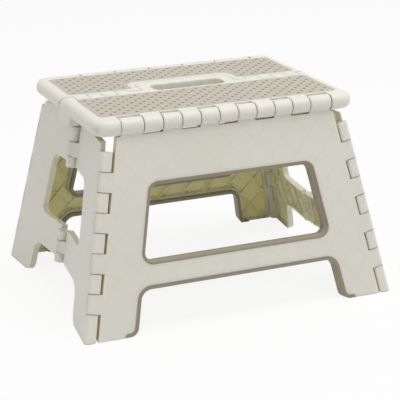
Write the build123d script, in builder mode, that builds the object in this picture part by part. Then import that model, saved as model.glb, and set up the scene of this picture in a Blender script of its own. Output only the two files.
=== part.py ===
# Folding step stool: two top halves, two splayed legs and two pairs of end halves on hinge pins.
# Frame: origin on the floor under the middle of the stool, +Z up, +X along the top, front at -Y.
import os
from math import atan, cos, hypot, radians, sin, tan

from build123d import *

os.makedirs("parts", exist_ok=True)

# Overall sizes
height = 220.0
top_length = 292.0
top_width = 223.0
base_length = 352.0
base_width = 290.0

# Top halves
rim_depth = 17.0
top_skin = 4.0
top_wall = 4.0
top_corner_radius = 16.0
rim_top_round = 8.0
rim_bottom_round = 7.0
centre_axis_drop = 10.0
centre_barrel_radius = 8.0
centre_pin_radius = 2.0
centre_seam = 0.8
lobe_side = 13.0
lobe_drop = 9.5
lobe_flat = 11.0
lobe_edge_round = 2.0
lobe_length = 14.0
lobe_cap = 2.5
lobe_root = 25.0
lobe_seam = 4.0
lobe_sweep_gap = 1.6

# Grip pads
pad_depth = 1.5
pad_end_margin = 12.0
pad_front_margin = 20.3
pad_centre_margin = 12.0
pad_corner_radius = 5.0

# Carrying handle
tongue_length = 110.0
tongue_reach = 33.0
tongue_depth = 13.0
tongue_corner_radius = 14.0
handle_rim = 7.5
tongue_wing = 6.5
slot_length = 84.0
slot_near = -8.0
slot_far = 16.2
slot_corner_radius = 9.0
grip_scallops = 5
grip_scallop_radius = 16.0
grip_scallop_reach = 2.6

# Hinge between a leg and its top half
leg_barrel_radius = 8.5
leg_pin_radius = 2.5
leg_face_out = 1.8
knuckle_round = 1.6
first_finger = 20.8
next_fingers = 20.75
last_finger = 25.0

# Legs
leg_wall = 9.0
leg_skin = 3.0
leg_top_gap = 0.8
leg_edge_inset = 13.8
end_top_inset = 14.0
opening_half_width = 119.2
window_bottom = 74.0
window_top = 149.6
window_radius = 8.0
arch_top = 45.3
arch_radius = 12.0
foot_radius = 10.0
trim_width = 4.0
trim_depth = 12.3
trim_chamfer = 2.6

# Corner hinges between legs and end halves
corner_inset = 8.5
corner_pin_radius = 2.0
corner_boss_radius = 4.8
corner_round = 4.5
corner_finger_width = 12.4
corner_tip_round = 2.8
corner_wrap = 5.2
corner_finger_heights = (0.0, 27.0, 47.0, 67.0, 87.0, 107.0, 126.7, 146.6, 166.5, 186.4)

# End halves
end_wall = 7.0
end_skin = 2.5
end_face_turn = 5.7
end_toggle = 3.8
end_axis_steeper = 0.03
end_top = 196.0
end_stile = 60.0
end_window_bottom = 76.0
end_window_top = 146.0
end_corner_radius = 3.0
end_window_radius = 12.0
end_ledge_radius = 8.0
end_notch_top = 39.5
end_notch_radius = 18.0
end_foot_radius = 14.0
end_barrel_radius = 6.0
end_pin_radius = 1.0
end_web_turn = 40.0
end_slack = 3.3
upper_knuckles = (188.6, 172.6, 156.6, 144.1)
lower_knuckles = (73.6, 62.9, 49.3, 38.0)

# Inner ribs and clearances
lattice_pitch = 30.0
lattice_turn = 40.0
rib_width = 1.8
rib_rise = 3.0
frame_width = 2.5
running_gap = 0.05
side_gap = 0.25
swing_gap = 0.5

# Axis between the top halves and the two axes between top and legs
hinge_y = top_width / 2 - leg_barrel_radius
hinge_z = height - leg_barrel_radius
centre_z = hinge_z - centre_axis_drop
rim_z = height - rim_depth
leg_lean = (base_width / 2 - hinge_y - leg_face_out) / hinge_z
end_lean = (base_length - top_length + 2 * end_top_inset) / 2 / height
leg_pitch = atan(leg_lean)

# Corner axis at the front left, shared by a leg and an end half
corner_foot = Vector(corner_inset - base_length / 2, leg_wall / cos(leg_pitch) - base_width / 2, 0)
corner_line = Vector(end_lean, leg_lean, 1).normalized()
along_leg = (Vector(1, 0, 0) - corner_line * corner_line.X).normalized()
flat_end = (Vector(0, 1, 0) - corner_line * corner_line.Y).normalized()
end_depth = corner_inset * cos(atan(end_lean))
corner_plane = Plane(origin=corner_foot, x_dir=along_leg, z_dir=corner_line)
end_angle = radians(along_leg.get_angle(flat_end) - end_face_turn)
along_end = along_leg * cos(end_angle) + corner_plane.y_dir * sin(end_angle)
end_plane = Plane(origin=corner_foot, x_dir=along_end, z_dir=along_end.cross(corner_line))

# Axis between the two halves of an end
centre_foot = Vector(corner_inset + end_toggle - base_length / 2, 0, 0)
centre_line = Vector(end_lean - end_axis_steeper, 0, 1).normalized()
end_hinge_plane = Plane(origin=centre_foot, x_dir=(0, 1, 0), z_dir=centre_line)

leg_plane = Plane(
    origin=(0, -base_width / 2, 0),
    x_dir=(1, 0, 0),
    z_dir=(0, -cos(leg_pitch), sin(leg_pitch)),
)


def up_leg(z):
    return z / cos(leg_pitch)


def along_corner(z):
    return z / corner_line.Z


def opening_edge(z):
    return opening_half_width - end_lean * z


def leg_edge(z):
    return base_length / 2 - leg_edge_inset - end_lean * z


def on_end(y, z):
    """Place on an end half's outer face, measured from the corner axis, of a point at y and z."""
    face = end_plane.offset(-end_depth)
    normal = face.z_dir
    x = face.origin.X - ((y - face.origin.Y) * normal.Y + (z - face.origin.Z) * normal.Z) / normal.X
    spot = face.to_local_coords(Vector(x, y, z))
    return (spot.X, spot.Y)


def at_stile(s, z):
    """Place on an end half's outer face at distance s from the corner axis and height z."""
    near, far = on_end(-100.0, z), on_end(-50.0, z)
    share = (s - near[0]) / (far[0] - near[0])
    return (s, near[1] + share * (far[1] - near[1]))


def rounded(points, radii):
    """Closed outline through the points, each corner rounded by its radius."""
    with BuildSketch() as outline:
        Polygon(*points, align=None)
        for point, radius in zip(points, radii):
            if radius:
                fillet(outline.vertices().sort_by_distance(Vector(*point))[0], radius)
    return outline.sketch


def lattice(middle, half_width, half_height):
    """Crossed ribs that make diamonds over a region round the middle."""
    slope = radians(lattice_turn)
    count = int((half_width + half_height * tan(slope)) / lattice_pitch) + 1
    spots = [
        Location((middle[0] + step * lattice_pitch, middle[1]), turn)
        for turn in (-lattice_turn, lattice_turn)
        for step in range(-count, count + 1)
    ]
    with Locations(*spots):
        Rectangle(rib_width, 2 * half_height / cos(slope) + 2 * rib_width)


def both_sides(spans):
    return spans + [(-high, -low) for low, high in spans]


# Spans along X of the legs' knuckles, which take turns with the top's from the middle outwards
bounds = [first_finger / 2 + step * next_fingers for step in range(5)]
row_end = bounds[-1] + last_finger
leg_spans = both_sides(list(zip(bounds[0::2], bounds[1::2] + [row_end])))
top_spans = [(-bounds[0], bounds[0])] + both_sides(list(zip(bounds[1::2], bounds[2::2])))

# Spans of the centre hinge, from the handle outwards
centre_start = tongue_length / 2 + handle_rim + tongue_wing
lobe_start = top_length / 2 - lobe_length
centre_step = (lobe_start - centre_start) / 4
centre_bounds = [centre_start + step * centre_step for step in range(5)]
front_spans = both_sides(list(zip(centre_bounds[0::2], centre_bounds[1::2])))
back_spans = both_sides(list(zip(centre_bounds[1::2], centre_bounds[2::2])))


def gap_blocks(spans, near, far):
    """Blocks through the rim that leave room for another piece's fingers, from y near to y far."""
    with BuildPart() as blocks:
        with BuildSketch(Plane.XY.offset(rim_z - rim_depth)):
            for low, high in spans:
                with Locations(((low + high) / 2, (near + far) / 2)):
                    Rectangle(high - low + 2 * side_gap, far - near)
        extrude(amount=3 * rim_depth)
    return blocks.part


def leg_barrels(spans):
    """Barrels of the hinge between a leg and its top half, each with rounded ends."""
    with BuildPart() as barrels:
        for low, high in spans:
            with BuildSketch(Plane.YZ.offset(low + side_gap)):
                with Locations((-hinge_y, hinge_z)):
                    Circle(leg_barrel_radius)
            extrude(amount=high - low - 2 * side_gap)
        fillet(barrels.edges().filter_by(GeomType.CIRCLE), knuckle_round)
    return barrels.part


def top_half(other_spans, grip_depth):
    """Top half on the front side of the centre axis, with room for the other half's fingers."""
    half_length = top_length / 2
    seam_y = -centre_seam / 2
    finger_reach = centre_barrel_radius + swing_gap
    knuckle_back = -hinge_y + leg_barrel_radius + swing_gap
    corners = [
        (-half_length, -top_width / 2),
        (half_length, -top_width / 2),
        (half_length, seam_y),
        (-half_length, seam_y),
    ]
    plan = rounded(corners, (top_corner_radius, top_corner_radius, 0, 0))
    hollow_half = half_length - top_wall - rim_bottom_round / 2
    hollow_front = knuckle_back + top_wall
    hollow_back = -finger_reach - top_wall
    hollow_middle = (hollow_front + hollow_back) / 2
    with BuildSketch() as hollow:
        with Locations((0, hollow_middle)):
            Rectangle(2 * hollow_half, hollow_back - hollow_front)
        Rectangle(tongue_length + 2 * handle_rim, 2 * grip_depth, mode=Mode.SUBTRACT)
    with BuildSketch() as ribs:
        lattice((0, hollow_middle), hollow_half, (hollow_back - hollow_front) / 2)
        add(hollow.sketch, mode=Mode.INTERSECT)
    leg_gaps = gap_blocks(leg_spans, -top_width, knuckle_back)
    roll = leg_barrels(top_spans)
    finger_gaps = gap_blocks(other_spans, -finger_reach, finger_reach)
    with BuildPart() as body:
        with BuildSketch(Plane.XY.offset(rim_z)):
            add(plan)
        extrude(amount=rim_depth)
        for level, radius in ((-1, rim_top_round), (0, rim_bottom_round)):
            outer = body.edges().filter_by(lambda edge: edge.center().Y < seam_y - top_wall)
            fillet(outer.group_by(Axis.Z)[level], radius)
        # Roll along the front edge, with gaps for the leg's knuckles
        with BuildSketch(Plane.XY.offset(rim_z)):
            with Locations((0, -hinge_y - leg_barrel_radius)):
                Rectangle(2 * row_end, 2 * leg_barrel_radius)
        extrude(amount=rim_depth, mode=Mode.SUBTRACT)
        add(leg_gaps, mode=Mode.SUBTRACT)
        add(roll)
        # Flush fingers of the centre hinge
        with BuildSketch(Plane.YZ.offset(centre_start), Plane.YZ.offset(-lobe_start)):
            with Locations((0, centre_z)):
                Circle(centre_barrel_radius)
            with Locations((0, (centre_z + height) / 2)):
                Rectangle(2 * centre_barrel_radius, height - centre_z)
        extrude(amount=lobe_start - centre_start)
        add(finger_gaps, mode=Mode.SUBTRACT)
        # Hollow underside with crossed ribs
        with BuildSketch(Plane.XY.offset(rim_z)):
            add(hollow.sketch)
        extrude(amount=rim_depth - top_skin, mode=Mode.SUBTRACT)
        with BuildSketch(Plane.XY.offset(rim_z + top_wall)):
            add(ribs.sketch)
        extrude(amount=rim_depth - top_skin - top_wall)
        with BuildSketch(Plane.YZ.offset(-half_length + top_wall)):
            with Locations((-hinge_y, hinge_z)):
                Circle(leg_pin_radius + running_gap)
        extrude(amount=top_length - 2 * top_wall, mode=Mode.SUBTRACT)
    return body.part


def lobe_outline(grow):
    """Side view of the front half's end lobe, round the centre axis."""
    side = lobe_side + grow
    bottom = centre_z - lobe_drop - grow
    points = [
        (side, bottom),
        (side, height - rim_top_round),
        (lobe_seam + grow, height + grow),
        (-lobe_root, height + grow),
        (-lobe_root, rim_z + top_wall),
        (-lobe_flat, bottom),
    ]
    return rounded(points, (lobe_drop + grow, 0, 0, 0, 0, 0))


# Rounded lobe at the right end of the front half, and the room that the back half leaves it
lobe_end = top_length / 2
with BuildPart() as right_lobe:
    with BuildSketch(Plane.YZ.offset(lobe_start)):
        add(lobe_outline(0))
    extrude(amount=lobe_end - lobe_start)
    lobe_edges = right_lobe.faces().sort_by(Axis.X)[-1].edges().sort_by(Axis.Y)
    # The root runs on into the rim, so its edge stays square
    fillet(lobe_edges[1:], lobe_edge_round)
    with BuildSketch(Plane.XZ):
        with Locations((lobe_end, height)):
            Rectangle(2 * rim_top_round, 2 * rim_top_round)
        with Locations((lobe_end - rim_top_round, height - rim_top_round)):
            Circle(rim_top_round, mode=Mode.SUBTRACT)
    extrude(amount=top_width, both=True, mode=Mode.SUBTRACT)

with BuildPart() as right_lobe_room:
    with BuildSketch(Plane.YZ.offset(lobe_start - 2 * side_gap)):
        add(lobe_outline(swing_gap))
        with Locations((0, centre_z)):
            Circle(hypot(lobe_flat, lobe_drop) + lobe_sweep_gap)
    extrude(amount=top_length)

# Bores of the centre hinge, closed by a cap of plastic at each lobe's end
centre_pin_end = top_length / 2 - lobe_cap
with BuildPart() as centre_bores:
    bore_run = centre_pin_end - centre_start + 2 * side_gap
    with BuildSketch(Plane.YZ.offset(centre_start - side_gap), Plane.YZ.offset(-centre_pin_end - side_gap)):
        with Locations((0, centre_z)):
            Circle(centre_pin_radius + running_gap)
    extrude(amount=bore_run)

# Grip pads in plan, the back one on the front side with its gap round the handle
pad_half = top_length / 2 - pad_end_margin
pad_front = -top_width / 2 + pad_front_margin
pad_corners = [
    (-pad_half, pad_front),
    (pad_half, pad_front),
    (pad_half, -pad_centre_margin),
    (-pad_half, -pad_centre_margin),
]
front_pad = rounded(pad_corners, (pad_corner_radius,) * 4)
handle_back = tongue_reach + handle_rim
handle_width = tongue_length + 2 * handle_rim
with BuildSketch() as back_pad:
    add(front_pad)
    with Locations((0, -handle_back / 2)):
        RectangleRounded(handle_width, handle_back, tongue_corner_radius, mode=Mode.SUBTRACT)
    with Locations((0, -pad_centre_margin)):
        Rectangle(handle_width, pad_centre_margin, mode=Mode.SUBTRACT)

# Shallow finger scallops along the far side of the hand slot
scallop_far = slot_far + grip_scallop_reach
scallop_spacing = (slot_length - 2 * slot_corner_radius) / (grip_scallops - 1)
with BuildSketch() as scallops:
    with Locations((0, scallop_far - grip_scallop_radius)):
        with GridLocations(scallop_spacing, 0, grip_scallops, 1):
            Circle(grip_scallop_radius)
    with Locations((0, (slot_near + scallop_far) / 2)):
        RectangleRounded(slot_length, scallop_far - slot_near, slot_corner_radius, mode=Mode.INTERSECT)

# Top halves
front_body = top_half(back_spans, pad_centre_margin + top_wall)
with BuildPart() as front_top_panel:
    add(front_body)
    add(right_lobe.part)
    mirror(right_lobe.part, about=Plane.YZ)
    # Tongue that carries the hand slot across the centre
    with BuildSketch(Plane.XY.offset(height)):
        with Locations((0, (tongue_reach - pad_centre_margin) / 2)):
            RectangleRounded(tongue_length, tongue_reach + pad_centre_margin, tongue_corner_radius)
    extrude(amount=-tongue_depth)
    with BuildSketch(Plane.XY.offset(height)):
        with Locations((0, (slot_near + slot_far) / 2)):
            RectangleRounded(slot_length, slot_far - slot_near, slot_corner_radius)
        add(scallops.sketch)
    extrude(amount=-2 * rim_depth, mode=Mode.SUBTRACT)
    with BuildSketch(Plane.XY.offset(height)):
        add(front_pad)
    extrude(amount=-pad_depth, mode=Mode.SUBTRACT)
    add(centre_bores.part, mode=Mode.SUBTRACT)
front_top_panel.part.label = "front_top_panel"
export_step(front_top_panel.part, "parts/front_top_panel.step")

back_body = top_half(front_spans, handle_back)
with BuildPart() as back_top_panel:
    mirror(back_body, about=Plane.XZ)
    # Recess that the tongue lies in, open below for the fingers
    with BuildSketch(Plane.XY.offset(height)):
        with Locations((0, (tongue_reach - pad_centre_margin) / 2)):
            RectangleRounded(
                tongue_length + 2 * swing_gap,
                tongue_reach + pad_centre_margin + 2 * swing_gap,
                tongue_corner_radius + swing_gap,
            )
    extrude(amount=-2 * rim_depth, mode=Mode.SUBTRACT)
    add(right_lobe_room.part, mode=Mode.SUBTRACT)
    mirror(right_lobe_room.part, about=Plane.YZ, mode=Mode.SUBTRACT)
    with BuildSketch(Plane.XY.offset(height)):
        mirror(back_pad.sketch, about=Plane.XZ)
    extrude(amount=-pad_depth, mode=Mode.SUBTRACT)
    add(centre_bores.part, mode=Mode.SUBTRACT)
back_top_panel.part.label = "back_top_panel"
export_step(back_top_panel.part, "parts/back_top_panel.step")

# Grip pads, flush in their recesses
with BuildPart() as front_grip_pad:
    with BuildSketch(Plane.XY.offset(height - pad_depth)):
        add(front_pad)
    extrude(amount=pad_depth)
front_grip_pad.part.label = "front_grip_pad"
export_step(front_grip_pad.part, "parts/front_grip_pad.step")

with BuildPart() as back_grip_pad:
    with BuildSketch(Plane.XY.offset(height - pad_depth)):
        mirror(back_pad.sketch, about=Plane.XZ)
    extrude(amount=pad_depth)
back_grip_pad.part.label = "back_grip_pad"
export_step(back_grip_pad.part, "parts/back_grip_pad.step")

# Outlines of a leg's openings, on its outer face
window_points = [
    (-opening_edge(window_bottom), up_leg(window_bottom)),
    (opening_edge(window_bottom), up_leg(window_bottom)),
    (opening_edge(window_top), up_leg(window_top)),
    (-opening_edge(window_top), up_leg(window_top)),
]
window_opening = rounded(window_points, (window_radius,) * 4)
arch_flare = opening_edge(0) + foot_radius
arch_points = [
    (-arch_flare, -foot_radius),
    (arch_flare, -foot_radius),
    (arch_flare, 0),
    (opening_edge(0), 0),
    (opening_edge(arch_top), up_leg(arch_top)),
    (-opening_edge(arch_top), up_leg(arch_top)),
    (-opening_edge(0), 0),
    (-arch_flare, 0),
]
arch_opening = rounded(arch_points, (0, 0, 0, foot_radius, arch_radius, arch_radius, foot_radius, 0))
leg_top = hinge_z - leg_barrel_radius - leg_top_gap
leg_points = [
    (-leg_edge(0), 0),
    (leg_edge(0), 0),
    (leg_edge(leg_top), up_leg(leg_top)),
    (-leg_edge(leg_top), up_leg(leg_top)),
]
leg_outline = rounded(leg_points, (0, 0, 0, 0))

# Block under the floor that trims the slanted feet level
with BuildPart() as under_floor:
    with BuildSketch():
        Rectangle(2 * base_length, 2 * base_width)
    extrude(amount=-height)


def on_face(turn_depth, run):
    """Place in the corner plane, run along an end half and turn_depth out from the corner axis."""
    return (
        run * cos(end_angle) - turn_depth * sin(end_angle),
        run * sin(end_angle) + turn_depth * cos(end_angle),
    )


crease_x = (-leg_wall * cos(end_angle) - end_depth) / sin(end_angle)
crease_run = crease_x * cos(end_angle) - leg_wall * sin(end_angle)
wrap_run = crease_run + corner_wrap
crease = (crease_x, -leg_wall)
leg_finger_root = corner_inset

leg_finger_points = [
    (leg_finger_root, -leg_wall),
    crease,
    on_face(end_depth, wrap_run),
    on_face(end_skin, wrap_run),
    (0, 0),
    (leg_finger_root, 0),
]
leg_finger_radii = (0, corner_round, 0, 0, 0, 0)
end_finger_points = [
    crease,
    (crease_x + corner_finger_width, -leg_wall),
    (crease_x + corner_finger_width, -corner_boss_radius),
    (0, 0),
    on_face(end_depth - end_wall, corner_inset),
    on_face(end_depth, corner_inset),
]
end_finger_radii = (corner_round, corner_tip_round, 0, 0, 0, 0)


def corner_fingers(points, radii, spans):
    """Hinge fingers round the corner axis, with the bore of the corner pin, blind near the floor."""
    outline = rounded(points, radii)
    with BuildPart() as fingers:
        for low, high in spans:
            with BuildSketch(corner_plane.offset(along_corner(low) + side_gap)):
                add(outline)
                Circle(corner_boss_radius)
            extrude(amount=along_corner(high - low) - 2 * side_gap)
        add(corner_bore.part, mode=Mode.SUBTRACT)
    return fingers.part


with BuildPart() as corner_bore:
    with BuildSketch(corner_plane.offset(along_corner(leg_wall))):
        Circle(corner_pin_radius + running_gap)
    extrude(amount=along_corner(height))

heights = corner_finger_heights
end_finger_spans = list(zip(heights[0::2], heights[1::2]))
leg_finger_spans = list(zip(heights[1:-1:2], heights[2:-1:2]))
end_finger_spans[0] = (-corner_finger_width, heights[1])

# Legs
left_leg_fingers = corner_fingers(leg_finger_points, leg_finger_radii, leg_finger_spans)
axis_rise = (base_width / 2 - hinge_y) * sin(leg_pitch) + hinge_z * cos(leg_pitch)
web_low = up_leg(leg_top) - frame_width
leg_roll = leg_barrels(leg_spans)
with BuildSketch() as leg_openings:
    offset(window_opening, amount=trim_width)
    offset(arch_opening, amount=trim_width, mode=Mode.ADD)
with BuildSketch() as leg_frame:
    add(leg_outline)
    offset(leg_outline, amount=-frame_width, mode=Mode.SUBTRACT)
    offset(leg_openings.sketch, amount=frame_width, mode=Mode.ADD)
    add(leg_outline, mode=Mode.INTERSECT)
    add(leg_openings.sketch, mode=Mode.SUBTRACT)
with BuildSketch() as leg_ribs:
    lattice((0, up_leg(height / 2)), leg_edge(0), up_leg(height / 2))
    add(leg_outline, mode=Mode.INTERSECT)
    add(leg_openings.sketch, mode=Mode.SUBTRACT)
with BuildPart() as front_leg_panel:
    with BuildSketch(leg_plane):
        add(leg_outline)
        add(leg_openings.sketch, mode=Mode.SUBTRACT)
    extrude(amount=-leg_skin)
    with BuildSketch(leg_plane):
        add(leg_ribs.sketch)
    extrude(amount=-leg_skin - rib_rise)
    with BuildSketch(leg_plane):
        add(leg_frame.sketch)
    extrude(amount=-leg_wall)
    # Knuckles of the hinge under the top
    with BuildSketch(leg_plane):
        for low, high in leg_spans:
            with Locations(((low + high) / 2, (axis_rise + web_low) / 2)):
                Rectangle(high - low - 2 * side_gap, axis_rise - web_low)
    extrude(amount=-leg_wall)
    add(leg_roll)
    with BuildSketch(Plane.YZ.offset(-row_end)):
        with Locations((-hinge_y, hinge_z)):
            Circle(leg_pin_radius + running_gap)
    extrude(amount=2 * row_end, mode=Mode.SUBTRACT)
    add(left_leg_fingers)
    mirror(left_leg_fingers, about=Plane.YZ)
    add(under_floor.part, mode=Mode.SUBTRACT)
front_leg_panel.part.label = "front_leg_panel"
export_step(front_leg_panel.part, "parts/front_leg_panel.step")

with BuildPart() as back_leg_panel:
    mirror(front_leg_panel.part, about=Plane.XZ)
back_leg_panel.part.label = "back_leg_panel"
export_step(back_leg_panel.part, "parts/back_leg_panel.step")

# Linings of the leg openings
with BuildPart() as front_window_trim:
    with BuildSketch(leg_plane):
        offset(window_opening, amount=trim_width)
        add(window_opening, mode=Mode.SUBTRACT)
    extrude(amount=-trim_depth)
    face = front_window_trim.faces().sort_by(Axis(leg_plane.origin, leg_plane.z_dir))[-1]
    chamfer(face.inner_wires()[0].edges(), trim_chamfer)
front_window_trim.part.label = "front_window_trim"
export_step(front_window_trim.part, "parts/front_window_trim.step")

with BuildPart() as back_window_trim:
    mirror(front_window_trim.part, about=Plane.XZ)
back_window_trim.part.label = "back_window_trim"
export_step(back_window_trim.part, "parts/back_window_trim.step")

with BuildPart() as front_arch_trim:
    with BuildSketch(leg_plane):
        offset(arch_opening, amount=trim_width)
        add(arch_opening, mode=Mode.SUBTRACT)
        add(leg_outline, mode=Mode.INTERSECT)
    extrude(amount=-trim_depth)
    add(under_floor.part, mode=Mode.SUBTRACT)
front_arch_trim.part.label = "front_arch_trim"
export_step(front_arch_trim.part, "parts/front_arch_trim.step")

with BuildPart() as back_arch_trim:
    mirror(front_arch_trim.part, about=Plane.XZ)
back_arch_trim.part.label = "back_arch_trim"
export_step(back_arch_trim.part, "parts/back_arch_trim.step")

# Outline of an end half, on its outer face
stile_run = end_stile - corner_inset
skin_run = wrap_run + side_gap + swing_gap
centre_gap = end_barrel_radius + end_slack + swing_gap
end_points = [
    at_stile(skin_run, 0),
    at_stile(skin_run, heights[-1]),
    at_stile(skin_run + corner_wrap, heights[-1]),
    at_stile(skin_run + corner_wrap, end_top),
    on_end(-centre_gap, end_top),
    on_end(-centre_gap, end_window_top),
    at_stile(stile_run, end_window_top),
    at_stile(stile_run, end_window_bottom),
    on_end(-centre_gap, end_window_bottom),
    on_end(-centre_gap, end_notch_top),
    at_stile(stile_run, end_notch_top),
    at_stile(stile_run, 0),
]
end_radii = [0, 0, 0, end_corner_radius, end_corner_radius, 0]
end_radii += [end_window_radius, end_ledge_radius, 0, 0, end_notch_radius, end_foot_radius]
end_outline = rounded(end_points, end_radii)

boss_room = corner_boss_radius + swing_gap
web_turn = radians(end_web_turn)
end_middle = base_width / 4
with BuildSketch() as end_field:
    add(end_outline)
    with Locations((0, height / 2)):
        Rectangle(2 * boss_room, 2 * height, mode=Mode.SUBTRACT)
with BuildSketch() as end_frame:
    add(end_field.sketch)
    offset(end_field.sketch, amount=-frame_width, mode=Mode.SUBTRACT)
with BuildSketch() as end_ribs:
    lattice(at_stile(end_middle, height / 2), base_width / 2, up_leg(height / 2))
    add(end_field.sketch, mode=Mode.INTERSECT)
end_fingers = corner_fingers(end_finger_points, end_finger_radii, end_finger_spans)


def end_half(knuckles, bore_radius):
    """Front left end half with the given centre knuckles."""
    face_plane = end_plane.offset(-end_depth)
    with BuildPart() as half:
        with BuildSketch(face_plane):
            add(end_outline)
        extrude(amount=end_skin)
        # Frame and crossed ribs behind the skin, clear of the leg's fingers
        with BuildSketch(face_plane):
            add(end_ribs.sketch)
        extrude(amount=end_skin + rib_rise)
        with BuildSketch(face_plane):
            add(end_frame.sketch)
        extrude(amount=end_wall)
        add(end_fingers)
        for high, low in knuckles:
            middle = (high + low) / 2
            edge = Vector(*on_end(-centre_gap - end_skin, middle), 0)
            out = end_hinge_plane.to_local_coords(face_plane.from_local_coords(edge))
            web = [
                (out.X, out.Y),
                (-end_barrel_radius * sin(web_turn), end_barrel_radius * cos(web_turn)),
                (0, 0),
                (-end_barrel_radius * sin(web_turn), -end_barrel_radius * cos(web_turn)),
                (out.X, out.Y - end_wall),
            ]
            with BuildSketch(end_hinge_plane.offset(low / centre_line.Z + side_gap)):
                Polygon(*web, align=None)
                Circle(end_barrel_radius)
            extrude(amount=(high - low) / centre_line.Z - 2 * side_gap)
        with BuildSketch(end_hinge_plane):
            Circle(bore_radius)
        extrude(amount=height / centre_line.Z, mode=Mode.SUBTRACT)
        add(under_floor.part, mode=Mode.SUBTRACT)
    return half.part


def knuckle_spans(levels):
    return list(zip(levels[:-1], levels[1:]))


upper, lower = knuckle_spans(upper_knuckles), knuckle_spans(lower_knuckles)
loose_bore = end_pin_radius + end_slack + 2 * running_gap
front_half = end_half([upper[1], lower[1]], loose_bore)
back_half = end_half([upper[0], upper[2], lower[0], lower[2]], end_pin_radius + running_gap)

with BuildPart() as front_left_end:
    add(front_half)
front_left_end.part.label = "front_left_end"
export_step(front_left_end.part, "parts/front_left_end.step")

with BuildPart() as front_right_end:
    mirror(front_half, about=Plane.YZ)
front_right_end.part.label = "front_right_end"
export_step(front_right_end.part, "parts/front_right_end.step")

with BuildPart() as back_left_end:
    mirror(back_half, about=Plane.XZ)
back_left_end.part.label = "back_left_end"
export_step(back_left_end.part, "parts/back_left_end.step")

with BuildPart() as back_right_end:
    mirror(back_left_end.part, about=Plane.YZ)
back_right_end.part.label = "back_right_end"
export_step(back_right_end.part, "parts/back_right_end.step")

# Pins of the leg hinges
with BuildPart() as front_leg_hinge_pin:
    with BuildSketch(Plane.YZ.offset(-top_length / 2 + top_wall + side_gap)):
        with Locations((-hinge_y, hinge_z)):
            Circle(leg_pin_radius)
    extrude(amount=top_length - 2 * (top_wall + side_gap))
front_leg_hinge_pin.part.label = "front_leg_hinge_pin"
export_step(front_leg_hinge_pin.part, "parts/front_leg_hinge_pin.step")

with BuildPart() as back_leg_hinge_pin:
    mirror(front_leg_hinge_pin.part, about=Plane.XZ)
back_leg_hinge_pin.part.label = "back_leg_hinge_pin"
export_step(back_leg_hinge_pin.part, "parts/back_leg_hinge_pin.step")

# Pins of the centre hinge, one each side of the handle
with BuildPart() as right_centre_pin:
    with BuildSketch(Plane.YZ.offset(centre_start)):
        with Locations((0, centre_z)):
            Circle(centre_pin_radius)
    extrude(amount=centre_pin_end - centre_start)
right_centre_pin.part.label = "right_centre_pin"
export_step(right_centre_pin.part, "parts/right_centre_pin.step")

with BuildPart() as left_centre_pin:
    mirror(right_centre_pin.part, about=Plane.YZ)
left_centre_pin.part.label = "left_centre_pin"
export_step(left_centre_pin.part, "parts/left_centre_pin.step")

# Pins of the four corner hinges
with BuildPart() as corner_pin:
    with BuildSketch(corner_plane.offset(along_corner(leg_wall) + side_gap)):
        Circle(corner_pin_radius)
    extrude(amount=along_corner(heights[-1] - leg_wall) - 2 * side_gap)
for node, planes in (
    ("front_left_corner_pin", ()),
    ("front_right_corner_pin", (Plane.YZ,)),
    ("back_left_corner_pin", (Plane.XZ,)),
    ("back_right_corner_pin", (Plane.YZ, Plane.XZ)),
):
    pin = corner_pin.part
    for plane in planes:
        pin = mirror(pin, about=plane)
    pin.label = node
    export_step(pin, f"parts/{node}.step")

# Pins of the end halves' centre hinges, held by the back halves
for level, spans in (("upper", upper), ("lower", lower)):
    with BuildPart() as end_pin:
        with BuildSketch(end_hinge_plane.offset(spans[-1][1] / centre_line.Z + 2 * side_gap)):
            Circle(end_pin_radius)
        extrude(amount=(spans[0][0] - spans[-1][1]) / centre_line.Z - 4 * side_gap)
    for side, planes in (("left", ()), ("right", (Plane.YZ,))):
        pin = end_pin.part
        for plane in planes:
            pin = mirror(pin, about=plane)
        pin.label = f"{level}_{side}_end_pin"
        export_step(pin, f"parts/{pin.label}.step")
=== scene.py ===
# Folding step stool: camera, light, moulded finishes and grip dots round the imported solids.
import math

import bmesh
import bpy
from mathutils import Matrix, Vector


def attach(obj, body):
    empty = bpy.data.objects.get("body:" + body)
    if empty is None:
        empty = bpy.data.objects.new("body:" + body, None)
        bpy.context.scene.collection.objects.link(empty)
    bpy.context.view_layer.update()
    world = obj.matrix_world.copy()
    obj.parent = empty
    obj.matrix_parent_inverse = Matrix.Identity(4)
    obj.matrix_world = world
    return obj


mm = 0.001

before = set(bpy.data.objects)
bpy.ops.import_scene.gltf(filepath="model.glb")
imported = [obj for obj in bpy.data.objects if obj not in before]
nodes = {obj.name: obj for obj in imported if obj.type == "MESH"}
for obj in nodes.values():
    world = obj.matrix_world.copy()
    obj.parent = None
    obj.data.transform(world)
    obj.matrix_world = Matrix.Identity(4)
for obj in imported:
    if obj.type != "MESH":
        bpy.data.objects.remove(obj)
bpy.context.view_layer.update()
print("frame loaded:", len(nodes), "nodes")

# Planes of the moulding, in metres, for patterns and for what counts as inside
stool = {
    "height": 220 * mm,
    "baseLength": 352 * mm,
    "baseWidth": 290 * mm,
    "legLean": 0.19007,  # inward per unit of rise
    "endLean": 0.2,
    "legWall": 9 * mm,
    "cornerInset": 8.5 * mm,
    "endTurn": 5.7,  # degrees that an end's face turns inward
    "ribPitch": 30 * mm,
    "ribTurn": 40,  # degrees from upright
}

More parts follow.
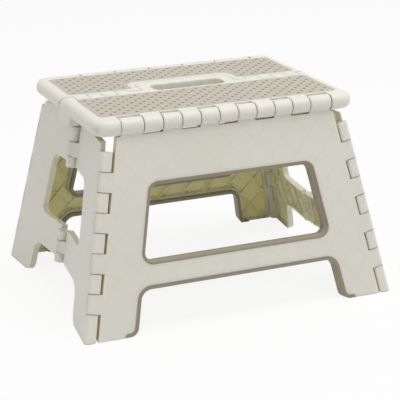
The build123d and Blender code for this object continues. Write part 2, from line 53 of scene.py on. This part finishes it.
legPitch = math.atan(stool["legLean"])
legFoot = Vector((0, -stool["baseWidth"] / 2, 0))
legOut = Vector((0, -math.cos(legPitch), math.sin(legPitch)))
legUp = Vector((0, math.sin(legPitch), math.cos(legPitch)))
cornerFoot = Vector((stool["cornerInset"] - stool["baseLength"] / 2,
                     stool["legWall"] / math.cos(legPitch) - stool["baseWidth"] / 2, 0))
cornerLine = Vector((stool["endLean"], stool["legLean"], 1)).normalized()
alongLeg = (Vector((1, 0, 0)) - cornerLine * cornerLine.x).normalized()
flatEnd = (Vector((0, 1, 0)) - cornerLine * cornerLine.y).normalized()
endAngle = alongLeg.angle(flatEnd) - math.radians(stool["endTurn"])
alongEnd = alongLeg * math.cos(endAngle) + cornerLine.cross(alongLeg) * math.sin(endAngle)
endIn = alongEnd.cross(cornerLine)
endFoot = cornerFoot - endIn * stool["cornerInset"] * math.cos(math.atan(stool["endLean"]))


def linearColour(hexText):
    channels = [int(hexText[i:i + 2], 16) / 255 for i in (1, 3, 5)]
    return [c / 12.92 if c <= 0.04045 else ((c + 0.055) / 1.055) ** 2.4 for c in channels] + [1.0]


def addNode(tree, kind, links=None, **settings):
    node = tree.nodes.new(kind)
    for name, value in settings.items():
        setattr(node, name, value)
    for socket, source in (links or {}).items():
        if isinstance(source, bpy.types.Node):
            source = source.outputs[0]
        if isinstance(source, bpy.types.NodeSocket):
            tree.links.new(source, node.inputs[socket])
        else:
            node.inputs[socket].default_value = source
    return node


def newMaterial(name):
    material = bpy.data.materials.new(name)
    material.use_nodes = True
    material.node_tree.nodes.clear()
    return material, material.node_tree


# How far a point lies from an origin along a direction
def along(tree, point, direction, origin):
    dot = addNode(tree, "ShaderNodeVectorMath", {0: point, 1: direction}, operation="DOT_PRODUCT")
    return addNode(tree, "ShaderNodeMath", {0: dot.outputs["Value"], 1: direction.dot(origin)},
                   operation="SUBTRACT")


# How close to a rib the read-through lies: 1 on a rib's line, 0 away from it
def ribLines(tree, across, up, width):
    turn = math.radians(stool["ribTurn"])
    pitch = stool["ribPitch"] * math.cos(turn)
    away = []
    for side in (-1, 1):
        slanted = addNode(tree, "ShaderNodeMath", {0: up, 1: side * math.sin(turn)}, operation="MULTIPLY")
        slanted = addNode(tree, "ShaderNodeMath", {0: across, 1: math.cos(turn), 2: slanted},
                          operation="MULTIPLY_ADD")
        away.append(addNode(tree, "ShaderNodeMath", {0: slanted, 1: pitch / 2}, operation="PINGPONG"))
    nearest = addNode(tree, "ShaderNodeMath", {0: away[0], 1: away[1]}, operation="MINIMUM")
    return addNode(tree, "ShaderNodeMapRange", {"Value": nearest, "From Min": width, "From Max": 0.0},
                   interpolation_type="SMOOTHSTEP")


# Polypropylene, injection moulded in a spark-eroded mould: satin cream, a fine even grain, soft edges,
# faint sink marks over the ribs behind the skin, and painted light on the inner sides: a yellow cast of
# bounced light
shell = {
    "cream": "#E9E7DD",
    "shade": "#E1DED2",  # slow drift of the tint over a hand's width
    # painted light: the yellow of light bounced between and passed through the walls inside
    "inside": "#F2EABE",
    "rib": "#FFFAD8",  # painted light: ribs and frames stand nearer the light than the cells between them
    "ribDepth": (4.0 * mm, 5.0 * mm),
    "sink": "#CFCBBB",
    "sinkShare": {"leg": 0.10, "end": 0.05},
    "sinkWidth": 2.6 * mm,
    "glow": 0.6,
    "glowDepth": 6 * mm,  # how far light spreads in the wall
    "glowSpread": (1.0, 0.98, 0.88),
    "gap": "#A2965C",  # painted shade in gaps, olive like light that has bounced between two cream walls
    "gapReach": 3.5 * mm,
    "gapOpenness": (0.15, 0.6),
    "skin": (1.8 * mm, 2.5 * mm),  # depth at which the inner side begins
    "topInner": (141 * mm, 93 * mm),  # half length and half width inside the top's rim
    "gripEdge": 42 * mm,  # the handle, this near the centre, stays cream all round
    "cornerReach": (12 * mm, 14 * mm),  # corner fingers take less of the painted inner light: the fold turns them out
    "cornerInnerLight": 0.4,
    "rimFacing": (0.86, 0.93),  # how squarely a cut edge faces along the wall
    "rimInnerLight": {"leg": 0.85, "end": 0.5},  # how much of the painted inner light cut edges and rib sides take
    "knuckleRise": (198 * mm, 201 * mm),
    "sinkDepth": 0.1 * mm,
    "bumpStrength": 0.6,
    "samples": {"gap": 8, "edge": 6},
    "driftSize": 90 * mm,
    "grainSize": 1.1 * mm,  # real grain is about 0.1 mm: drawn coarser so that it shows
    "grainDepth": 0.012 * mm,
    "edgeRadius": 0.9 * mm,
    "roughness": (0.40, 0.50),
    "ior": 1.49,
}


def mouldedShell(name, place):
    material, tree = newMaterial(name)
    origin = Vector((0, 0, 0))
    texture = addNode(tree, "ShaderNodeTexCoord")
    spot = texture.outputs["Object"]
    quarter = (-1, -1, 1)  # every place is folded into the front left quarter
    folded = addNode(tree, "ShaderNodeVectorMath", {0: spot}, operation="ABSOLUTE")
    folded = addNode(tree, "ShaderNodeVectorMath", {0: folded, 1: quarter}, operation="MULTIPLY")
    if place == "top":
        halfLength, halfWidth = shell["topInner"]
        parts = addNode(tree, "ShaderNodeSeparateXYZ", {0: folded})
        x, y, z = (parts.outputs[axis] for axis in "XYZ")
        depth = addNode(tree, "ShaderNodeMath", {0: stool["height"], 1: z}, operation="SUBTRACT")
        fromEnd = addNode(tree, "ShaderNodeMath", {0: x, 1: halfLength}, operation="ADD")
        fromSide = addNode(tree, "ShaderNodeMath", {0: y, 1: halfWidth}, operation="ADD")
        pastGrip = addNode(tree, "ShaderNodeMath", {0: -shell["gripEdge"], 1: y}, operation="SUBTRACT")
        for limit in (fromEnd, fromSide, pastGrip):
            depth = addNode(tree, "ShaderNodeMath", {0: depth, 1: limit}, operation="MINIMUM")
    else:
        legDepth = along(tree, folded, -legOut, legFoot)
        endDepth = along(tree, folded, endIn, endFoot)
        depth = addNode(tree, "ShaderNodeMath", {0: legDepth, 1: endDepth}, operation="MINIMUM")
    paintedInnerLight = addNode(tree, "ShaderNodeMapRange", {"Value": depth, "From Min": shell["skin"][0],
                                                  "From Max": shell["skin"][1]})
    if place != "top":
        # Cut edges, square to the wall, take less of the painted inner light, and the knuckles above the
        # wall take none
        facing = addNode(tree, "ShaderNodeVectorMath", {0: texture.outputs["Normal"]}, operation="ABSOLUTE")
        facing = addNode(tree, "ShaderNodeVectorMath", {0: facing, 1: quarter}, operation="MULTIPLY")
        square = []
        for direction in ((Vector((-1, 0, 0)), legUp) if place == "leg" else (alongEnd, cornerLine)):
            share = along(tree, facing, direction, origin)
            square.append(addNode(tree, "ShaderNodeMath", {0: share}, operation="ABSOLUTE"))
        square = addNode(tree, "ShaderNodeMath", {0: square[0], 1: square[1]}, operation="MAXIMUM")
        rim = addNode(tree, "ShaderNodeMapRange", {"Value": square, "From Min": shell["rimFacing"][0],
                                                   "From Max": shell["rimFacing"][1],
                                                   "To Min": 1.0, "To Max": shell["rimInnerLight"][place]})
        rise = addNode(tree, "ShaderNodeSeparateXYZ", {0: spot}).outputs["Z"]
        below = addNode(tree, "ShaderNodeMapRange", {"Value": rise, "From Min": shell["knuckleRise"][0],
                                                     "From Max": shell["knuckleRise"][1],
                                                     "To Min": 1.0, "To Max": 0.0})
        corner = addNode(tree, "ShaderNodeMapRange", {"Value": endDepth if place == "leg" else legDepth,
                                                      "From Min": shell["cornerReach"][0],
                                                      "From Max": shell["cornerReach"][1],
                                                      "To Min": shell["cornerInnerLight"], "To Max": 1.0})
        for limit in (rim, below, corner):
            paintedInnerLight = addNode(tree, "ShaderNodeMath", {0: paintedInnerLight, 1: limit}, operation="MULTIPLY")
    outside = addNode(tree, "ShaderNodeMath", {0: 1.0, 1: paintedInnerLight}, operation="SUBTRACT")
    drift = addNode(tree, "ShaderNodeTexNoise",
                    {"Vector": spot, "Scale": 1 / shell["driftSize"], "Detail": 2.0})
    grain = addNode(tree, "ShaderNodeTexNoise",
                    {"Vector": spot, "Scale": 1 / shell["grainSize"], "Detail": 3.0})
    colour = addNode(tree, "ShaderNodeMix",
                     {"Factor": drift, "A": linearColour(shell["cream"]), "B": linearColour(shell["shade"])},
                     data_type="RGBA").outputs["Result"]
    bumpHeight = addNode(tree, "ShaderNodeMath", {0: grain, 1: shell["grainDepth"]}, operation="MULTIPLY")
    if place != "top":
        if place == "leg":
            across = along(tree, folded, Vector((1, 0, 0)), origin)
            up = along(tree, folded, legUp, legFoot + legUp * stool["height"] / 2 / math.cos(legPitch))
        else:
            middle = endFoot + alongEnd * stool["baseWidth"] / 4
            middle += cornerLine * (stool["height"] / 2 - middle.z) / cornerLine.z
            across = along(tree, folded, alongEnd, middle)
            up = along(tree, folded, cornerLine, middle)
        lines = ribLines(tree, across, up, shell["sinkWidth"])
        share = addNode(tree, "ShaderNodeMath", {0: lines, 1: outside}, operation="MULTIPLY")
        share = addNode(tree, "ShaderNodeMath", {0: share, 1: shell["sinkShare"][place]},
                        operation="MULTIPLY")
        colour = addNode(tree, "ShaderNodeMix",
                         {"Factor": share, "A": colour, "B": linearColour(shell["sink"])},
                         data_type="RGBA").outputs["Result"]
        bumpHeight = addNode(tree, "ShaderNodeMath", {0: share, 1: -shell["sinkDepth"], 2: bumpHeight},
                             operation="MULTIPLY_ADD")
    # Painted highlight: ribs, nearer the light, are drawn lighter than the cells between them
    raised = addNode(tree, "ShaderNodeMapRange", {"Value": depth, "From Min": shell["ribDepth"][0],
                                                  "From Max": shell["ribDepth"][1]})
    inner = addNode(tree, "ShaderNodeMix",
                    {"Factor": raised, "A": linearColour(shell["inside"]), "B": linearColour(shell["rib"])},
                    data_type="RGBA").outputs["Result"]
    # Painted light: the inner side takes its yellow of bounced light
    colour = addNode(tree, "ShaderNodeMix", {"Factor": paintedInnerLight, "A": colour, "B": inner},
                     data_type="RGBA").outputs["Result"]
    # Painted shade: gaps on the outer side turn olive, and the ribs inside keep their painted light
    openness = addNode(tree, "ShaderNodeAmbientOcclusion", {"Distance": shell["gapReach"]},
                       samples=shell["samples"]["gap"])
    paintedGapShade = addNode(tree, "ShaderNodeMapRange",
                     {"Value": openness.outputs["AO"], "From Min": shell["gapOpenness"][0],
                      "From Max": shell["gapOpenness"][1], "To Min": 1.0, "To Max": 0.0},
                     interpolation_type="SMOOTHSTEP")
    paintedGapShade = addNode(tree, "ShaderNodeMath", {0: paintedGapShade, 1: outside}, operation="MULTIPLY")
    colour = addNode(tree, "ShaderNodeMix",
                     {"Factor": paintedGapShade, "A": colour, "B": linearColour(shell["gap"])},
                     data_type="RGBA").outputs["Result"]
    rough = addNode(tree, "ShaderNodeMapRange", {"Value": grain, "To Min": shell["roughness"][0],
                                                 "To Max": shell["roughness"][1]})
    soft = addNode(tree, "ShaderNodeBevel", {"Radius": shell["edgeRadius"]},
                   samples=shell["samples"]["edge"])
    bump = addNode(tree, "ShaderNodeBump", {"Height": bumpHeight, "Strength": shell["bumpStrength"],
                                            "Distance": 1.0, "Normal": soft})
    shader = addNode(tree, "ShaderNodeBsdfPrincipled",
                     {"Base Color": colour, "Roughness": rough, "IOR": shell["ior"], "Normal": bump,
                      "Subsurface Weight": shell["glow"], "Subsurface Radius": shell["glowSpread"],
                      "Subsurface Scale": shell["glowDepth"]})
    addNode(tree, "ShaderNodeOutputMaterial", {"Surface": shader})
    return material


# Thermoplastic rubber, moulded matt: dry, no highlights, a fine sandy grain that catches dust
grip = {
    "pad": "#BEB7A9",
    "worn": "#C5BFB2",
    "dot": "#8F8676",
    "dotTop": "#A0978A",
    "driftSize": 45 * mm,
    "grainSize": 0.9 * mm,  # drawn coarser than the real 0.2 mm so that it shows
    "grainDepth": 0.03 * mm,
    "roughness": (0.76, 0.88),
    "edgeRadius": 0.6 * mm,
    "bumpStrength": 0.7,
    "samples": 6,
    "ior": 1.50,
}

# Polypropylene lining, moulded in the taupe colour: matt sides, and painted shade darkening the outer lip
lining = {
    "pad": "#9C9380",
    "worn": "#A69D8A",
    "paintedLipShade": "#938A75",
    "lipDepth": (1.0 * mm, 2.4 * mm),  # from the leg's face
    "driftSize": 60 * mm,
    "grainSize": 1.0 * mm,
    "grainDepth": 0.015 * mm,
    "roughness": (0.50, 0.62),
    "edgeRadius": 0.6 * mm,
    "bumpStrength": 0.7,
    "samples": 6,
    "ior": 1.49,
}


def grainedPlastic(name, look, colours):
    material, tree = newMaterial(name)
    spot = addNode(tree, "ShaderNodeTexCoord").outputs["Object"]
    drift = addNode(tree, "ShaderNodeTexNoise",
                    {"Vector": spot, "Scale": 1 / look["driftSize"], "Detail": 3.0})
    grain = addNode(tree, "ShaderNodeTexNoise",
                    {"Vector": spot, "Scale": 1 / look["grainSize"], "Detail": 2.0})
    tone = addNode(tree, "ShaderNodeMath", {0: grain, 1: drift}, operation="ADD")
    tone = addNode(tree, "ShaderNodeMath", {0: tone, 1: 0.5}, operation="MULTIPLY")
    colour = addNode(tree, "ShaderNodeMix", {"Factor": tone, "A": linearColour(look[colours[0]]),
                                             "B": linearColour(look[colours[1]])}, data_type="RGBA")
    # Painted shade: the outer lip, near the leg's face, is drawn darker
    if "paintedLipShade" in look:
        folded = addNode(tree, "ShaderNodeVectorMath", {0: spot}, operation="ABSOLUTE")
        folded = addNode(tree, "ShaderNodeVectorMath", {0: folded, 1: (-1, -1, 1)}, operation="MULTIPLY")
        outer = addNode(tree, "ShaderNodeMapRange",
                        {"Value": along(tree, folded, -legOut, legFoot), "From Min": look["lipDepth"][0],
                         "From Max": look["lipDepth"][1], "To Min": 1.0, "To Max": 0.0})
        colour = addNode(tree, "ShaderNodeMix", {"Factor": outer, "A": colour.outputs["Result"],
                                                 "B": linearColour(look["paintedLipShade"])}, data_type="RGBA")
    rough = addNode(tree, "ShaderNodeMapRange", {"Value": grain, "To Min": look["roughness"][0],
                                                 "To Max": look["roughness"][1]})
    soft = addNode(tree, "ShaderNodeBevel", {"Radius": look["edgeRadius"]}, samples=look["samples"])
    height = addNode(tree, "ShaderNodeMath", {0: grain, 1: look["grainDepth"]}, operation="MULTIPLY")
    bump = addNode(tree, "ShaderNodeBump", {"Height": height, "Strength": look["bumpStrength"],
                                            "Distance": 1.0, "Normal": soft})
    shader = addNode(tree, "ShaderNodeBsdfPrincipled",
                     {"Base Color": colour.outputs["Result"], "Roughness": rough.outputs["Result"],
                      "IOR": look["ior"], "Normal": bump.outputs["Normal"]})
    addNode(tree, "ShaderNodeOutputMaterial", {"Surface": shader.outputs["BSDF"]})
    return material


# Steel wire, cold drawn and cut: grey, fine lines along the pin, a tight highlight
pinSteel = {
    "bright": "#B9BABC",
    "dull": "#8E9093",
    "lineSize": 0.4 * mm,
    "lineLength": 12 * mm,
    "roughness": (0.24, 0.4),
}


def drawnSteel(name):
    material, tree = newMaterial(name)
    spot = addNode(tree, "ShaderNodeTexCoord").outputs["Object"]
    finest = 1 / pinSteel["lineSize"]
    stretched = addNode(tree, "ShaderNodeVectorMath",
                        {0: spot, 1: (1 / pinSteel["lineLength"], finest, finest)}, operation="MULTIPLY")
    lines = addNode(tree, "ShaderNodeTexNoise", {"Vector": stretched, "Scale": 1.0, "Detail": 2.0})
    colour = addNode(tree, "ShaderNodeMix", {"Factor": lines, "A": linearColour(pinSteel["bright"]),
                                             "B": linearColour(pinSteel["dull"])}, data_type="RGBA")
    rough = addNode(tree, "ShaderNodeMapRange", {"Value": lines, "To Min": pinSteel["roughness"][0],
                                                 "To Max": pinSteel["roughness"][1]})
    shader = addNode(tree, "ShaderNodeBsdfPrincipled",
                     {"Base Color": colour.outputs["Result"], "Metallic": 1.0, "Roughness": rough})
    addNode(tree, "ShaderNodeOutputMaterial", {"Surface": shader.outputs["BSDF"]})
    return material


finishes = {
    "top_panel": mouldedShell("creamPolypropyleneTop", "top"),
    "leg_panel": mouldedShell("creamPolypropyleneLeg", "leg"),
    "_end": mouldedShell("creamPolypropyleneEnd", "end"),
    "trim": grainedPlastic("taupePolypropyleneLining", lining, ("pad", "worn")),
    "grip_pad": grainedPlastic("taupeRubberPad", grip, ("pad", "worn")),
    "pin": drawnSteel("drawnSteelPin"),
}
for name, node in nodes.items():
    finish = next(finishes[ending] for ending in finishes if name.endswith(ending))
    node.data.materials.clear()
    node.data.materials.append(finish)
print("finishes set on", len(nodes), "nodes")

# Raised rubber dots in staggered rows on both pads
dots = {
    "acrossPitch": 14.1 * mm,
    "rowPitch": 7.25 * mm,
    "firstRow": 19 * mm,
    "rows": 10,
    "dotsInLongRow": 19,
    "radius": 1.75 * mm,
    "rise": 0.5 * mm,
    "sides": 14,
    "rings": [(1.0, -0.1), (0.94, 0.55), (0.72, 0.88)],  # radius and rise as shares
    "notchHalf": 66 * mm,  # room left round the handle in the back pad
    "notchBack": 44 * mm,
}
dotRubber = grainedPlastic("taupeRubberDot", grip, ("dot", "dotTop"))


def gripDots(name, side, body):
    mesh = bmesh.new()
    top = stool["height"]
    for row in range(dots["rows"]):
        y = side * (dots["firstRow"] + row * dots["rowPitch"])
        count = dots["dotsInLongRow"] - row % 2
        for step in range(count):
            x = (step - (count - 1) / 2) * dots["acrossPitch"]
            if side > 0 and abs(x) < dots["notchHalf"] and y < dots["notchBack"]:
                continue
            loops = []
            for share, lift in dots["rings"]:
                loop = []
                reach = share * dots["radius"]
                for k in range(dots["sides"]):
                    angle = 2 * math.pi * k / dots["sides"]
                    loop.append(mesh.verts.new((x + reach * math.cos(angle), y + reach * math.sin(angle),
                                                top + lift * dots["rise"])))
                loops.append(loop)
            crown = mesh.verts.new((x, y, top + dots["rise"]))
            for lower, upper in zip(loops, loops[1:]):
                for k in range(dots["sides"]):
                    n = (k + 1) % dots["sides"]
                    mesh.faces.new((lower[k], lower[n], upper[n], upper[k]))
            for k in range(dots["sides"]):
                mesh.faces.new((loops[-1][k], loops[-1][(k + 1) % dots["sides"]], crown))
            mesh.faces.new(list(reversed(loops[0])))
    for face in mesh.faces:
        face.smooth = True
    data = bpy.data.meshes.new(name)
    mesh.to_mesh(data)
    mesh.free()
    data.materials.append(dotRubber)
    piece = bpy.data.objects.new(name, data)
    bpy.context.scene.collection.objects.link(piece)
    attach(piece, body)
    return piece


gripDots("front_pad_dots", -1, "front_top")
gripDots("back_pad_dots", 1, "back_top")
print("grip dots made")

# Camera at the photograph's place: 400 by 400 pixels, focal length 1375.4 pixels
shot = {
    "place": (-0.5481, -1.3689, 0.5742),
    "yaw": 22.20,
    "pitch": 18.30,
    "roll": -0.91,
    "focalShare": 1375.4 / 400,
    "sensorWidth": 36,
    "clip": (0.05, 60),
}
yaw, pitch, roll = (math.radians(shot[k]) for k in ("yaw", "pitch", "roll"))
ahead = Vector((math.sin(yaw) * math.cos(pitch), math.cos(yaw) * math.cos(pitch), -math.sin(pitch)))
level = Vector((math.cos(yaw), -math.sin(yaw), 0))
upward = level.cross(ahead)
right = math.cos(roll) * level + math.sin(roll) * upward
top = math.cos(roll) * upward - math.sin(roll) * level
cameraData = bpy.data.cameras.new("photoCamera")
cameraData.sensor_fit = "HORIZONTAL"
cameraData.sensor_width = shot["sensorWidth"]
cameraData.lens = shot["sensorWidth"] * shot["focalShare"]
cameraData.clip_start, cameraData.clip_end = shot["clip"]
camera = bpy.data.objects.new("photoCamera", cameraData)
camera.matrix_world = Matrix.Translation(shot["place"]) @ Matrix((right, top, -ahead)).transposed().to_4x4()
bpy.context.scene.collection.objects.link(camera)
bpy.context.scene.camera = camera

# Soft studio: an even white surround, a broad softbox overhead and a weak one at the left
studio = {
    "surround": 0.55,
    "floor": "#F4F4F2",
    "floorReach": 12.0,
    "aim": (0, 0, 0.1),
    "floorLift": 0.88,  # share of plain white that the camera sees in the floor
    "softboxes": [
        {"name": "overhead", "place": (0.4, -0.45, 2.3), "size": 1.6, "power": 26},
        {"name": "leftFill", "place": (-2.2, -0.6, 1.2), "size": 1.4, "power": 1.5},
    ],
}


# 1 where the camera, a reflection or a clear piece looks at the backdrop, 0 where it only lights the stool
def raysSeen(tree):
    rays = addNode(tree, "ShaderNodeLightPath")
    seen = rays.outputs["Is Camera Ray"]
    for kind in ("Is Glossy Ray", "Is Transmission Ray"):
        seen = addNode(tree, "ShaderNodeMath", {0: seen, 1: rays.outputs[kind]}, operation="MAXIMUM")
    return seen


world = bpy.data.worlds.new("studioSurround")
bpy.context.scene.world = world
world.use_nodes = True
worldTree = world.node_tree
worldTree.nodes.clear()
seen = raysSeen(worldTree)
strength = addNode(worldTree, "ShaderNodeMapRange",
                   {"Value": seen, "To Min": studio["surround"], "To Max": 1.0})
surround = addNode(worldTree, "ShaderNodeBackground", {"Color": (1, 1, 1, 1), "Strength": strength})
addNode(worldTree, "ShaderNodeOutputWorld", {"Surface": surround})

for box in studio["softboxes"]:
    light = bpy.data.lights.new(box["name"], "AREA")
    light.shape = "DISK"
    light.size = box["size"]
    light.energy = box["power"]
    lamp = bpy.data.objects.new(box["name"], light)
    lamp.location = box["place"]
    lamp.rotation_euler = (Vector(studio["aim"]) - lamp.location).to_track_quat("-Z", "Y").to_euler()
    bpy.context.scene.collection.objects.link(lamp)

floorMesh = bpy.data.meshes.new("floor")
reach = studio["floorReach"]
floorCorners = [(-reach, -reach, 0), (reach, -reach, 0), (reach, reach, 0), (-reach, reach, 0)]
floorMesh.from_pydata(floorCorners, [], [(0, 1, 2, 3)])
floor = bpy.data.objects.new("floor", floorMesh)
bpy.context.scene.collection.objects.link(floor)
floorMaterial, floorTree = newMaterial("palePaperFloor")
paper = addNode(floorTree, "ShaderNodeBsdfDiffuse", {"Color": linearColour(studio["floor"])})
glow = addNode(floorTree, "ShaderNodeEmission", {"Color": (1, 1, 1, 1), "Strength": 1.0})
lift = addNode(floorTree, "ShaderNodeMath", {0: raysSeen(floorTree), 1: studio["floorLift"]},
               operation="MULTIPLY")
mixed = addNode(floorTree, "ShaderNodeMixShader", {0: lift, 1: paper, 2: glow})
addNode(floorTree, "ShaderNodeOutputMaterial", {"Surface": mixed})
floorMesh.materials.append(floorMaterial)

bpy.context.scene.view_settings.view_transform = "Standard"
print("camera, light and floor set")
